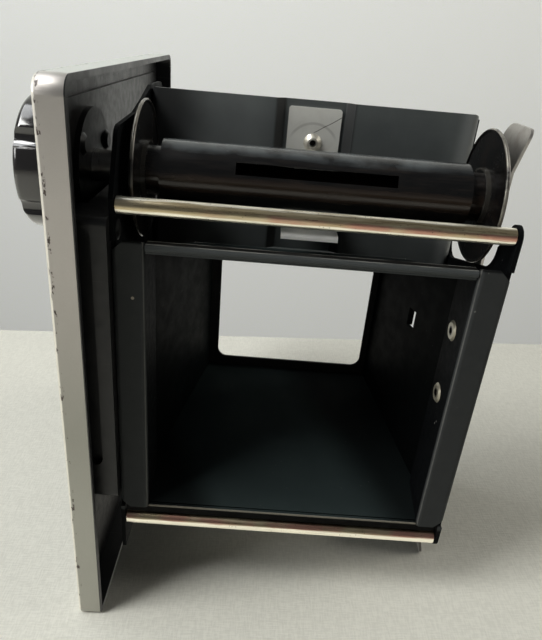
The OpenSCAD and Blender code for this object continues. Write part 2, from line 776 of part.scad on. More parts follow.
// Rear side of the leaf, moved forward by inset
function leaf_side(inset, top) = concat(
    [[leaf_kink[0] + inset, top], [leaf_kink[0] + inset, leaf_kink_z]],
    arc(leaf_centre, leaf_bend_r + inset, -leaf_lean, -leaf_lean - leaf_bend, 10),
    arc(leaf_tip - leaf_tip_r * [0, 1], leaf_tip_r - inset, 90, leaf_tip_turn, 6),
    [leaf_tip - leaf_tip_r * [0, 1] + (leaf_tip_r - inset) * [cos(leaf_tip_turn), sin(leaf_tip_turn)]
        + leaf_lip * [-sin(leaf_tip_turn), cos(leaf_tip_turn)]]);

// Leaf spring for a chamber whose back plate ends at the height rim
module leaf_spring(rim) {
    top = rim - leaf_inset;
    rear = leaf_side(0, top);
    front = leaf_side(leaf_t, top);
    color([0.78, 0.78, 0.76]) difference() {
        intersection() {
            side_sheet(-leaf_w / 2, leaf_w) polygon(concat(
                rear, [for (i = [len(front) - 1:-1:0]) front[i]]));
            front_sheet(0, 2 * back_y)
                round_rect([-leaf_w / 2, 0], [leaf_w / 2, top], leaf_corner_r);
        }
        y_rod(back_y - 1, channel_y + 1, 0, leaf_rivet_z, leaf_shank_r);
    }
}

module upper_leaf_spring() {
    leaf_spring(back_top);
}

module lower_leaf_spring() {
    mirror([0, 0, 1]) leaf_spring(back_bottom);
}

module upper_leaf_rivet() {
    y_head = leaf_kink[0];
    back = channel_y + back_t + rivet_play;
    color([0.7, 0.69, 0.65]) difference() {
        union() {
            y_rod(y_head - leaf_head_t, y_head, 0, leaf_rivet_z,
                  leaf_rivet_r - leaf_head_slope, leaf_rivet_r);
            y_rod(y_head, back, 0, leaf_rivet_z, leaf_shank_r);
            y_rod(back, back + leaf_tail_t, 0, leaf_rivet_z,
                  leaf_rivet_r, leaf_rivet_r - leaf_tail_t);
        }
        y_rod(y_head - 2, y_head - leaf_head_t + leaf_hole_d, 0, leaf_rivet_z, leaf_hole_r);
    }
}

// ---- Film rollers ----

module roller(z) {
    body = cheek_in - side_gap;
    color([0.8, 0.75, 0.62]) {
        x_rod(-body, body, roller_y, z, roller_r);
        both_sides() x_rod(body, cheek_x - 0.1, roller_y, z, roller_pin_r);
    }
}

// ---- Take-up spool ----

module about_spool() {
    translate([0, spool_y, spool_z]) rotate([0, 90, 0]) children();
}

// Section of half the core in (radius, distance from the middle)
module core_section() {
    half = core_len / 2;
    difference() {
        union() {
            square([core_r, half]);
            square([neck_r, flange_face + flange_t]);
        }
        square([core_r - core_wall, half - core_wall]);
        square([spool_hole_r, flange_face + 2 * flange_t]);
    }
}

module spool_core() {
    color([0.09, 0.085, 0.085]) difference() {
        about_spool() for (side = [0, 1]) mirror([0, 0, side])
            rotate_extrude() core_section();
        // film slot through both walls
        translate([0, spool_y, spool_z]) rotate([-slot_tilt, 0, 0])
            cube([slot_len, 3 * core_r, slot_w], center = true);
        key_slot_cut();
    }
}

module key_slot_cut() {
    translate([-flange_face - 2, spool_y, spool_z])
        cube([2 * key_depth + 3, key_slot[0], key_slot[1]], center = true);
}

// Flange with a collar on its inner side and a rolled rim
module flange_section() {
    rim = flange_r - bead_r;
    translate([spool_hole_r, flange_face + flange_t])
        square([neck_r - spool_hole_r, spool_len / 2 - flange_face - flange_t]);
    translate([neck_r, flange_face]) square([rim - neck_r, flange_t]);
    translate([neck_r, flange_face - collar_t]) square([collar_t, collar_t + flange_t]);
    // sloping hub
    translate([neck_r, flange_face + flange_t])
        polygon([[0, 0], [hub_w, 0], [0, spool_len / 2 - flange_face - flange_t]]);
    translate([rim, flange_face + bead_in]) circle(bead_r, $fn = 24);
}

module spool_flange() {
    color([0.1, 0.1, 0.1]) about_spool() rotate_extrude($fn = 96) flange_section();
}

module spool_right_flange() {
    spool_flange();
}

module spool_left_flange() {
    difference() {
        mirror([1, 0, 0]) spool_flange();
        key_slot_cut();
    }
}

// ---- Winding knob, shaft and bush ----

module winding_knob() {
    color([0.03, 0.03, 0.032]) difference() {
        translate([knob_x, spool_y, spool_z]) rotate([0, -90, 0]) difference() {
            rotate_extrude($fn = 72) difference() {
                union() {
                    square([knob_r, knob_h - knob_edge]);
                    square([knob_r - knob_edge, knob_h]);
                    translate([knob_r - knob_edge, knob_h - knob_edge]) circle(knob_edge);
                }
                // dish round the screw
                translate([-eps, knob_h - knob_dish[1]]) square([screw_head_r + knob_dish[0], 2]);
            }
            // grooves between the lobes
            for (i = [0:knob_lobes - 1]) rotate([0, 0, 90 - groove_angle + 360 * i / knob_lobes])
                translate([knob_r + knob_groove_out, 0, -1])
                    cylinder(h = knob_h + 2, r = knob_groove_r);
        }
        x_rod(knob_x - knob_h - 1, knob_x + 1, spool_y, spool_z, shaft_r + 0.02);
    }
}

module winding_shaft() {
    shaft_end = knob_x - knob_h + screw_sink + screw_neck;
    blade_tip = key_tip - key_taper;
    color([0.5, 0.49, 0.46]) difference() {
        union() {
            x_rod(shaft_end, collar_x - collar_len, spool_y, spool_z, shaft_r);
            x_rod(collar_x - collar_len, collar_x, spool_y, spool_z, collar_r);
            x_rod(collar_x, blade_tip, spool_y, spool_z, stud_r);
            x_rod(blade_tip, key_tip, spool_y, spool_z, stud_r, stud_r - key_taper);
            // blade of the key
            translate([collar_x, spool_y - key_slot[0] / 2 + key_gap,
                       spool_z - key_slot[1] / 2 + key_gap])
                cube([blade_tip - collar_x, key_slot[0] - 2 * key_gap,
                      key_slot[1] - 2 * key_gap]);
        }
        x_rod(shaft_end - 1, shaft_end + screw_len, spool_y, spool_z, screw_r);
    }
}

module knob_screw() {
    head = knob_x - knob_h + screw_sink;
    color([0.62, 0.6, 0.55]) difference() {
        union() {
            x_rod(head - screw_head_t, head, spool_y, spool_z,
                  screw_head_r - screw_slope, screw_head_r);
            x_rod(head, head + screw_neck, spool_y, spool_z, shaft_r - 0.1);
            x_rod(head + screw_neck, head + screw_len, spool_y, spool_z, screw_r);
        }
        translate([head - screw_head_t, spool_y, spool_z])
            cube([screw_slot, screw_slot, 3 * screw_head_r], center = true);
    }
}

module knob_washer() {
    color([0.66, 0.6, 0.42]) difference() {
        x_rod(knob_x + 0.02, knob_x + washer_t, spool_y, spool_z, washer_r);
        x_rod(knob_x - 1, knob_x + 1, spool_y, spool_z, shaft_r + run_gap);
    }
}

module bush_rivet_places() {
    for (i = [0:2]) let (a = bush_rivet_angle + 120 * i)
        translate([0, spool_y + bush_rivet_pitch * cos(a), spool_z + bush_rivet_pitch * sin(a)])
            children();
}

module shaft_bush() {
    color([0.68, 0.56, 0.3]) difference() {
        union() {
            x_rod(cover_x, panel_x, spool_y, spool_z, bush_tube_r);
            x_rod(panel_x, panel_x + bush_disc_t, spool_y, spool_z, bush_disc_r);
        }
        x_rod(cover_x - 1, panel_x + bush_disc_t + 1, spool_y, spool_z, shaft_r + run_gap);
        bush_rivet_places() x_rod(panel_x - 1, panel_x + bush_disc_t + 1, 0, 0, bush_rivet_r);
    }
}

module bush_rivets() {
    face = panel_x + bush_disc_t;
    color([0.12, 0.12, 0.125]) bush_rivet_places() {
        x_rod(cover_x, face, 0, 0, bush_rivet_r);
        x_rod(face, face + bush_head_t, 0, 0, bush_rivet_r + bush_head_rim, bush_rivet_r);
    }
}

// ---- Spring arms and pivot studs ----

module arm_rivet_places() {
    for (y = [-1, 1]) translate([0, arm_y + y * arm_rivet_pitch / 2, arm_rivet_z])
        children();
}

module arm_rivet_holes() {
    arm_rivet_places() x_rod(cheek_in - 1, cheek_x + 1, 0, 0, arm_rivet_r + flex_gap);
}

// Outline of an arm seen along X, in (y, z)
module arm_outline() {
    foot_top = arm_foot + arm_foot_h;
    foot_y = [arm_y - arm_foot_w / 2, arm_y + arm_foot_w / 2];
    polygon(concat(
        arc([foot_y[0] + arm_foot_r, arm_foot + arm_foot_r], arm_foot_r, 270, 180, 4),
        [[foot_y[0], foot_top - arm_shoulder], [stem_y[0], foot_top],
         [stem_y[0], spool_z - arm_neck_h], [tab_y[0], spool_z]],
        arc([tab_y[0] + tab_r, tab_top - tab_r], tab_r, 180, 90, 5),
        arc([tab_y[1] - tab_front_r, tab_top - tab_front_r], tab_front_r, 90, 0, 5),
        [[tab_y[1], spool_z], [stem_y[1], spool_z - arm_neck_h],
         [stem_y[1], foot_top], [foot_y[1], foot_top - arm_shoulder]],
        arc([foot_y[1] - arm_foot_r, arm_foot + arm_foot_r], arm_foot_r, 0, -90, 4)));
}

// Edge of the bent blade seen along Y, in (x, z)
module arm_profile() {
    rise = tab_top - tab_z;
    lean = rise * tan(tab_angle);
    kink = tab_z - arm_t * tan(tab_angle / 2);
    polygon([
        [arm_x, 0], [arm_x, tab_z], [arm_x + lean, tab_top],
        [arm_x + lean + arm_t / cos(tab_angle), tab_top], [arm_x + arm_t, kink],
        [arm_x + arm_t, 0]]);
}

module upper_spring_arm() {
    color([0.5, 0.5, 0.49]) difference() {
        intersection() {
            side_sheet(arm_x - 1, 2 * tab_w) arm_outline();
            front_sheet(0, 3 * spool_y) arm_profile();
        }
        arm_rivet_places() x_rod(arm_x - 1, arm_x + 2, 0, 0, arm_rivet_r);
        x_rod(arm_x - 1, arm_x + 2, spool_y, spool_z, stud_neck_r);
    }
}

module upper_arm_rivets() {
    color([0.55, 0.54, 0.5]) arm_rivet_places() {
        x_rod(cheek_in + 0.05, arm_x + arm_t, 0, 0, arm_rivet_r);
        x_rod(arm_x + arm_t, arm_x + arm_t + arm_rivet_t, 0, 0,
              arm_rivet_r + arm_rivet_head, arm_rivet_r);
    }
}

// Stud for the right-hand end of a spool, with its shoulder on a sheet from seat to seat + t
module spool_stud(seat, t, z) {
    tip = cheek_x - stud_in;
    x_rod(tip, tip + stud_taper, spool_y, z, stud_r - stud_point, stud_r);
    x_rod(tip + stud_taper, seat, spool_y, z, stud_r);
    x_rod(seat, seat + t, spool_y, z, stud_neck_r);
    x_rod(seat + t, seat + t + stud_head, spool_y, z, stud_r, stud_neck_r);
}

module upper_pivot_stud() {
    color([0.62, 0.61, 0.57]) spool_stud(arm_x, arm_t, spool_z);
}

// Fixed stud in the left cheek for the supply spool
module supply_stud() {
    color([0.62, 0.61, 0.57]) mirror([1, 0, 0]) spool_stud(cheek_in, cheek_t, -supply_z);
}

// ---- The carrier ----

cover_pan();
side_covering();
inner_panel();
spacer_frame();
spacer_rivets();
left_cheek();
right_cheek();
light_tunnel();
aperture_plate();
gate_eyelets();
upper_back_plate();
lower_back_plate();
back_plate_rivets();
upper_leaf_spring();
lower_leaf_spring();
upper_leaf_rivet();
mirror([0, 0, 1]) upper_leaf_rivet();  // lower_leaf_rivet
roller(upper_roller_z);  // upper_roller
roller(-lower_axis_z);  // lower_roller
spool_core();
spool_left_flange();
spool_right_flange();
winding_knob();
winding_shaft();
knob_screw();
knob_washer();
shaft_bush();
bush_rivets();
upper_spring_arm();
lower() upper_spring_arm();  // lower_spring_arm
upper_pivot_stud();
lower() upper_pivot_stud();  // lower_pivot_stud
upper_arm_rivets();
lower() upper_arm_rivets();  // lower_arm_rivets
supply_stud();
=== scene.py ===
"""Looks of the roll-film carrier: finishes, lamps, floor and camera round the CAD frame."""
import math

import bmesh
import bpy
from mathutils import Matrix, Vector


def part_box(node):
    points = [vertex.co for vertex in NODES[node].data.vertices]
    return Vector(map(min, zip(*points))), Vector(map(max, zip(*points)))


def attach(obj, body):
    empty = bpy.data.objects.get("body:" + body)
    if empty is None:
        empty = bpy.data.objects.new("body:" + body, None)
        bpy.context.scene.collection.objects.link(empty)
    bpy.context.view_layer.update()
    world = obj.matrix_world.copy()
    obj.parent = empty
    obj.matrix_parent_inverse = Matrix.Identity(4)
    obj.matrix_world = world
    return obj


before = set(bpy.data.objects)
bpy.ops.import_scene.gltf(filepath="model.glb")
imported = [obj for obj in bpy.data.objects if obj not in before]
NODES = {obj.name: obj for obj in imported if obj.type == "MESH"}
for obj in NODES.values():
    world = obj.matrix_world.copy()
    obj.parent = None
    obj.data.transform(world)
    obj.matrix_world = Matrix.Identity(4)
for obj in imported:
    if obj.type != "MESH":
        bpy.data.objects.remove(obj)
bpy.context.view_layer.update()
MM = 0.001


# ---------------------------------------------------------------- node trees

class Finish:
    """One procedural material: a Principled shader and the nodes that feed it."""

    def __init__(self, name, **sockets):
        self.material = bpy.data.materials.new(name)
        self.material.use_nodes = True
        self.tree = self.material.node_tree
        self.shader = self.tree.nodes["Principled BSDF"]
        self.set(**sockets)
        self.place = self.node("ShaderNodeTexCoord").outputs["Object"]

    def set(self, **sockets):
        """Sets sockets of the shader; a name's underscores stand for spaces."""
        for name, value in sockets.items():
            socket = self.shader.inputs[name.replace("_", " ")]
            if isinstance(value, bpy.types.NodeSocket):
                self.tree.links.new(value, socket)
            elif isinstance(value, (tuple, list)) and len(value) == 3:
                socket.default_value = (*value, 1.0)
            else:
                socket.default_value = value
        return self

    def node(self, kind, **settings):
        """New node of the tree, with its settings."""
        made = self.tree.nodes.new(kind)
        for name, value in settings.items():
            setattr(made, name, value)
        return made

    def feed(self, node, index, value):
        """Links or writes a value to one input of a node."""
        if isinstance(value, bpy.types.NodeSocket):
            self.tree.links.new(value, node.inputs[index])
        elif value is not None:
            node.inputs[index].default_value = value

    def math(self, operation, a, b=None, clamp=False):
        made = self.node("ShaderNodeMath", operation=operation, use_clamp=clamp)
        self.feed(made, 0, a)
        self.feed(made, 1, b)
        return made.outputs[0]

    def add(self, a, b):
        return self.math("ADD", a, b)

    def minus(self, a, b):
        return self.math("SUBTRACT", a, b)

    def times(self, a, b):
        return self.math("MULTIPLY", a, b)

    def sum_of_marks(self, a, b):
        """Sum of two masks, at most 1."""
        return self.math("ADD", a, b, clamp=True)

    def off(self, a, b):
        """How far a is from b, on either side."""
        return self.math("ABSOLUTE", self.minus(a, b))

    def both(self, *masks):
        """Mask of the places that lie in every one of the masks."""
        made = masks[0]
        for mask in masks[1:]:
            made = self.times(made, mask)
        return made

    def either(self, a, b):
        """Mask of the places that lie in one of two masks, or the greater of two numbers."""
        return self.math("MAXIMUM", a, b)

    def axis(self, letter):
        """One coordinate of the shaded point, in millimetres."""
        split = self.node("ShaderNodeSeparateXYZ")
        self.tree.links.new(self.place, split.inputs[0])
        return self.times(split.outputs[letter], 1 / MM)

    def facing(self, letter):
        """One component of the surface's true normal."""
        split = self.node("ShaderNodeSeparateXYZ")
        geometry = self.node("ShaderNodeNewGeometry")
        self.tree.links.new(geometry.outputs["True Normal"], split.inputs[0])
        return split.outputs[letter]

    def ramp(self, value, low, high, out_low=0.0, out_high=1.0):
        """Value mapped smoothly from low..high to out_low..out_high, clamped."""
        made = self.node("ShaderNodeMapRange", interpolation_type="SMOOTHSTEP")
        for index, number in enumerate((value, low, high, out_low, out_high)):
            self.feed(made, index, number)
        return made.outputs[0]

    def stretched(self, scale, shift=(0, 0, 0), turn=(0, 0, 0)):
        """The shaded point, turned by degrees, scaled and shifted."""
        made = self.node("ShaderNodeMapping")
        self.tree.links.new(self.place, made.inputs["Vector"])
        made.inputs["Location"].default_value = shift
        made.inputs["Rotation"].default_value = [math.radians(angle) for angle in turn]
        made.inputs["Scale"].default_value = scale
        return made.outputs[0]

    def noise(self, size, detail=3.0, roughness=0.55, stretch=(1, 1, 1), shift=(0, 0, 0),
              turn=(0, 0, 0)):
        """Noise whose blobs are about size millimetres, longer along an axis by its stretch."""
        scale = [1 / (size * MM * longer) for longer in stretch]
        made = self.node("ShaderNodeTexNoise")
        made.inputs["Scale"].default_value = 1.0
        made.inputs["Detail"].default_value = detail
        made.inputs["Roughness"].default_value = roughness
        self.tree.links.new(self.stretched(scale, shift, turn), made.inputs["Vector"])
        return made.outputs[0]

    def cells(self, size, shift=(0, 0, 0), feature="F1"):
        """Distance to the nearest of points about size millimetres apart."""
        scale = [1 / (size * MM)] * 3
        made = self.node("ShaderNodeTexVoronoi", feature=feature)
        made.inputs["Scale"].default_value = 1.0
        self.tree.links.new(self.stretched(scale, shift), made.inputs["Vector"])
        return made.outputs["Distance"]

    def blend(self, factor, a, b):
        """Colour a where factor is 0 and b where it is 1."""
        made = self.node("ShaderNodeMix", data_type="RGBA")
        self.feed(made, 0, factor)
        for index, colour in ((6, a), (7, b)):
            self.feed(made, index, (*colour, 1.0) if isinstance(colour, tuple) else colour)
        return made.outputs[2]

    def layer(self, base, mask, colour, amount=1.0):
        """Colour laid over base where the mask is 1, at most by amount."""
        return self.blend(self.times(mask, amount), base, colour)

    def over(self, mask, colour, amount=1.0):
        """Lays a colour over the finish's present one where the mask is 1, at most by amount."""
        return self.set(Base_Color=self.layer(self.present("Base Color"), mask, colour, amount))

    def present(self, socket):
        """What now feeds a socket of the shader."""
        return self.shader.inputs[socket].links[0].from_socket

    def level(self, factor, a, b):
        """Number a where factor is 0 and b where it is 1."""
        made = self.node("ShaderNodeMix", data_type="FLOAT")
        for index, value in ((0, factor), (2, a), (3, b)):
            self.feed(made, index, value)
        return made.outputs[0]

    def bump(self, height, depth):
        """Bump of about depth millimetres over the height's range of 0 to 1."""
        made = self.node("ShaderNodeBump")
        made.inputs["Distance"].default_value = depth * MM
        self.tree.links.new(height, made.inputs["Height"])
        self.set(Normal=made.outputs[0])
        return self

    def distance(self, a, b, a0, b0):
        """Distance of the point (a, b) from (a0, b0)."""
        da, db = self.minus(a, a0), self.minus(b, b0)
        return self.math("SQRT", self.add(self.times(da, da), self.times(db, db)))

    def specks(self, size, share, shift=(0, 0, 0)):
        """Mask of small round specks; share is the part of the cells that hold one."""
        dots = self.ramp(self.cells(size, shift=shift), 0.16, 0.08)
        patchy = self.ramp(self.noise(3 * size, 2, shift=shift), 1 - share, 1 - share + 0.02)
        return self.both(dots, patchy)

    def scratches(self, length, width, turn, threshold=0.71, shift=(0, 0, 0)):
        """Mask of fine straight scratches, long along the turned X axis."""
        streaks = self.noise(width, 1, 0.4, (length / width, 1, 1), shift, turn)
        return self.ramp(streaks, threshold, threshold + 0.035)


def paint(names, finish):
    """Gives a finish to CAD nodes or new pieces."""
    for name in names:
        piece = NODES.get(name) or bpy.data.objects[name]
        piece.data.materials.clear()
        piece.data.materials.append(finish.material)


# ---------------------------------------------------------------- finishes

def corner_places(name):
    """Lowest and highest corner of a node, in millimetres."""
    low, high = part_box(name)
    return low / MM, high / MM


# Silver paint of the cover
SILVER = (0.40, 0.375, 0.355), (0.47, 0.445, 0.42)
SILVER_GREENISH = (0.27, 0.275, 0.24)
SILVER_MID_SHADE = (0.18, 0.175, 0.155)
SILVER_TOP_LIGHT = (0.56, 0.58, 0.55)
EDGE_HIGHLIGHT = (0.80, 0.77, 0.70)
RUST = (0.018, 0.010, 0.008), (0.07, 0.044, 0.034)
COVER_BLACK = (0.004, 0.004, 0.0045), (0.008, 0.008, 0.0085)
SCUFFED_BLACK = (0.12, 0.115, 0.11)
COVER_WALL = 1.1                 # thickness of the cover's sheet
COVER_RIM = 0.22                 # how far the black reaches over the rim
WORN_CORNER = 0.85               # place of the longest chips, from the cover's outer face
SPOTS_END = 2.4, 4.4             # the small spots fade out between these, from the same face
EDGE_HIGHLIGHT_END = 0.45, 0.75            # and the painted highlight on the outer edge's rounding between these
GREENISH_Z = 25, -10             # heights between which the silver turns greenish and darker, the darkening being painted shade
SHADE_MIDDLE = 4                  # height of the deepest painted shade
SHADE_REACH = 10, 34              # distances from there between which the painted shade fades out


def cover_finish():
    """Silver paint outside, chipped to dark metal along the outer edge, with painted shade and
    painted highlights; black inside.
    """
    low, high = corner_places("cover_pan")
    made = Finish("cover_silver_and_black")
    x, y, z = (made.axis(letter) for letter in "XYZ")
    # black inside the pan and on the thin edge of its rim
    inner_low, inner_high = low + Vector([COVER_WALL] * 3), high - Vector([COVER_WALL] * 3)
    slack = 0.05
    inside = made.both(
        made.math("GREATER_THAN", x, inner_low.x - 2 * slack),
        made.math("GREATER_THAN", y, inner_low.y - slack),
        made.math("LESS_THAN", y, inner_high.y + slack),
        made.math("LESS_THAN", made.off(z, 0), inner_high.z + slack))
    black = made.either(inside, made.math("GREATER_THAN", x, high.x - COVER_RIM))
    # paint worn off in long chips along the outer corner of each wall, and in small spots
    wear = made.noise(1.0, 5, 0.62, (1, 1, 2.2), (3, 1, 7))
    chips = made.both(made.ramp(made.off(x, low.x + WORN_CORNER), 0.5, 0.2),
                      made.ramp(wear, 0.575, 0.60))
    spots = made.both(made.ramp(made.noise(1.1, 4, 0.7, (1, 1, 1.3), (9, 4, 2)), 0.74, 0.76),
                      made.ramp(x, low.x + SPOTS_END[1], low.x + SPOTS_END[0]))
    worn = made.either(chips, spots)
    # the silver turns greenish below; painted shade darkens it below and at mid height, and a
    # painted highlight makes the top face paler
    silver = made.blend(made.noise(16, 3, 0.5), *SILVER)
    silver = made.layer(silver, made.ramp(z, *GREENISH_Z), SILVER_GREENISH, 0.75)
    dull = made.ramp(made.off(z, SHADE_MIDDLE), *reversed(SHADE_REACH))
    silver = made.layer(silver, dull, SILVER_MID_SHADE, 0.30)
    # painted highlight on the top face
    above = made.both(made.ramp(z, high.z - 1.4, high.z - 0.5), made.ramp(y, low.y + 1, low.y + 5))
    silver = made.layer(silver, above, SILVER_TOP_LIGHT)
    # painted highlight along the rounding of the outer edge
    bare = made.ramp(x, low.x + EDGE_HIGHLIGHT_END[1], low.x + EDGE_HIGHLIGHT_END[0])
    silver = made.layer(silver, bare, EDGE_HIGHLIGHT, 0.8)
    outer = made.layer(silver, worn, made.blend(made.noise(0.5, 2), *RUST))
    scuffs = made.scratches(16, 0.16, (0, 62, 0), 0.73, (1, 2, 3))
    dark = made.layer(made.blend(made.noise(9, 4), *COVER_BLACK), scuffs, SCUFFED_BLACK, 0.4)
    flakes = made.noise(0.12, 2)
    painted = made.minus(1.0, made.either(black, worn))
    made.set(Base_Color=made.blend(black, outer, dark),
             Roughness=made.level(black, made.ramp(flakes, 0.3, 0.7, 0.36, 0.5),
                                  made.ramp(made.noise(4, 4), 0.3, 0.7, 0.36, 0.48)),
             Metallic=made.times(painted, 0.8))
    return made.bump(made.add(made.times(flakes, 0.25), made.times(worn, -1.0)), 0.03)


# Black enamels
DUST = (0.13, 0.13, 0.125)
FOOT_SHADE_BLACK = (0.0008, 0.0008, 0.001)
NEUTRAL_TINT = (1.0, 0.99, 0.98)
COOL_TINT = (1.0, 1.02, 1.04)
BLUE_GREEN_TINT = (0.90, 1.01, 1.02)
PANEL_FOOT = -14, -34            # heights between which painted shade darkens the inner panel
SPACER_FOOT = -6, -24            # and the spacer box


def black_paint(name, tone, roughness, dust=0.3, tint=COOL_TINT, gloss=0.3):
    """Black enamel on sheet steel: fine grain, faint clouds, dust and hairline scratches."""
    made = Finish(name, Specular_IOR_Level=gloss)
    shades = (tuple(tone * level * part for part in tint) for level in (0.75, 1.25))
    base = made.blend(made.noise(7, 4, 0.6), *shades)
    specks = made.specks(1.6, 0.40, (2, 5, 1))
    lines = made.scratches(12, 0.12, (10, 70, 20), 0.745)
    marks = made.sum_of_marks(made.times(specks, dust), made.times(lines, dust))
    made.set(Base_Color=made.blend(marks, base, DUST),
             Roughness=made.ramp(made.noise(2.2, 4, 0.6), 0.25, 0.75, roughness - 0.06,
                                 roughness + 0.08))
    return made.bump(made.noise(0.22, 2, 0.5), 0.004)


def panel_finish():
    """Black enamel of the inner panel, with dust above and painted shade darkening it towards its
    foot.
    """
    made = black_paint("panel_enamel", 0.005, 0.34, tint=NEUTRAL_TINT, gloss=0.18)
    return made.over(made.ramp(made.axis("Z"), *PANEL_FOOT), FOOT_SHADE_BLACK, 0.9)


def spacer_finish():
    """Enamel of the spacer box and the rivets beside it, darker towards its foot as painted shade.
    """
    made = black_paint("spacer_enamel", 0.007, 0.38, 0.2)
    return made.over(made.ramp(made.axis("Z"), *SPACER_FOOT), FOOT_SHADE_BLACK, 0.9)


CHANNEL_SLOPE = 6.0, 8.6         # where the channel's sloping sides begin and end
PLATE_FOLD = 29.0, 31.6          # the fold at the back plates' right end, with a painted highlight
SHEEN_X = -6, -14                # the plates get a paler painted sheen between these
LEFT_SHADE_X = -20, -29         # and painted shade darkens them towards the left end
PLATE_SHEEN = (0.17, 0.185, 0.185)
PLATE_FOLD_HIGHLIGHT = (0.16, 0.17, 0.17)
PLATE_SLOPE_SHADE = (0.006, 0.006, 0.006)
PLATE_LEFT_SHADE = (0.010, 0.010, 0.011)


def plate_finish():
    """Blue-black enamel of the back plates, with painted shade in the channel's sides and at the
    left end, a painted sheen towards the left and a painted highlight at the fold.
    """
    made = black_paint("back_plate_enamel", 0.085, 0.46, 0.35, BLUE_GREEN_TINT, 0.5)
    x = made.axis("X")
    # painted sheen towards the left
    sheen = made.both(made.ramp(x, *SHEEN_X), made.ramp(made.noise(9, 3), 0.2, 0.6, 0.5))
    made.over(sheen, PLATE_SHEEN, 0.6)
    # painted shade on the channel's sloping sides
    start, end = CHANNEL_SLOPE
    sideways = made.off(x, 0)
    slope_shade = made.both(made.ramp(sideways, start, start + 0.5), made.ramp(sideways, end, end - 0.8))
    made.over(slope_shade, PLATE_SLOPE_SHADE, 0.85)
    # painted highlight on the fold
    fold = made.both(made.ramp(x, *PLATE_FOLD), made.ramp(made.noise(5, 3), 0.2, 0.5))
    made.over(fold, PLATE_FOLD_HIGHLIGHT, 0.8)
    return made.over(made.ramp(x, *LEFT_SHADE_X), PLATE_LEFT_SHADE, 0.85)


RAIL_LIT_GREY = (0.030, 0.0325, 0.033), (0.045, 0.047, 0.0475)
CHEEK_SHADED_BLACK = (0.002, 0.0023, 0.0026), (0.004, 0.0045, 0.005)
FOLD_HIGHLIGHT = (0.17, 0.17, 0.16)
PALE_SPECK = (0.3, 0.3, 0.28)
FLECK = (0.42, 0.37, 0.30)
FLECK_PLACE = (-30.9, 19.8)      # x and z of the light fleck on the left rail
RAIL_END = 29.6                  # half the length of the rail painted a lit grey


def cheek_finish(name, side):
    """Black enamel, painted a lit grey on the film rails and a shaded black elsewhere, with a
    painted highlight on the rails' inner fold.
    """
    low, high = corner_places(name)
    made = Finish(name + "_enamel", Specular_IOR_Level=0.03)
    x, y, z = (made.axis(letter) for letter in "XYZ")
    inward = made.times(made.minus(x, high.x if side < 0 else low.x), side)
    on_rail = made.both(made.ramp(y, 0.9, 0.5),
                        made.ramp(made.off(z, 0), RAIL_END + 0.6, RAIL_END))
    # one enamel painted in two tones: a shaded black off the rails and a lit grey on them
    base = made.blend(made.noise(6, 4, 0.6), *CHEEK_SHADED_BLACK)
    base = made.layer(base, on_rail, made.blend(made.noise(3, 5, 0.65), *RAIL_LIT_GREY))
    # painted highlight on the rails' inner fold, whose corner lies where the distances from the
    # gate and the film plane are equal
    fold = made.both(made.ramp(made.off(inward, y), 0.26, 0.10), made.ramp(inward, 0.7, 0.5),
                     made.ramp(made.noise(2.6, 4, 0.6, (1, 1, 3)), 0.25, 0.5))
    base = made.layer(base, fold, FOLD_HIGHLIGHT, 0.45)
    base = made.layer(base, made.specks(1.9, 0.36, (4, 4, 4)), PALE_SPECK, 0.35)
    if side < 0:
        near_fleck = made.ramp(made.distance(x, z, *FLECK_PLACE), 0.34, 0.24)
        base = made.layer(base, near_fleck, FLECK, 0.8)
    made.set(Base_Color=base,
             Roughness=made.ramp(made.noise(1.5, 4, 0.6), 0.25, 0.75, 0.52, 0.66))
    return made.bump(made.noise(0.2, 2, 0.5), 0.005)


# Light tunnel: depths behind the film plane (Y) and heights (Z) of its lips
LIP_DEPTH = 2.8
LIP_FOOT = 27.6
LIP_CREST = 0.62, 29.6           # depth and height of the rolled lip's crest
FLOOR_SKEW = 0.55                # the painted shade's lines lean by this much X for each Y
FADE_RIGHT = 17, 29              # painted shade darkens the floor between these towards the right
FADE_LEFT = -11, -20             # and towards the left
LOWER_LIP_TOP = -28.0
LOWER_LIP_FOOT = -28.5
TUNNEL_FLOOR = (0.018, 0.0255, 0.026), (0.027, 0.038, 0.038)
TUNNEL_FLOOR_SHADE = (0.001, 0.0012, 0.0013)
TUNNEL_WALL_SHADE = (0.0, 0.0002, 0.0003)
TUNNEL_DUST = (0.14, 0.15, 0.14)
UNDER_LIP_SHADE = (0.001, 0.001, 0.001)
LIP_BLACK = (0.010, 0.0095, 0.009)
LIP_FRONT = (0.055, 0.060, 0.061)
LIP_HIGHLIGHT = (0.24, 0.24, 0.22)
LOWER_LIP_HIGHLIGHT = (0.30, 0.275, 0.225)


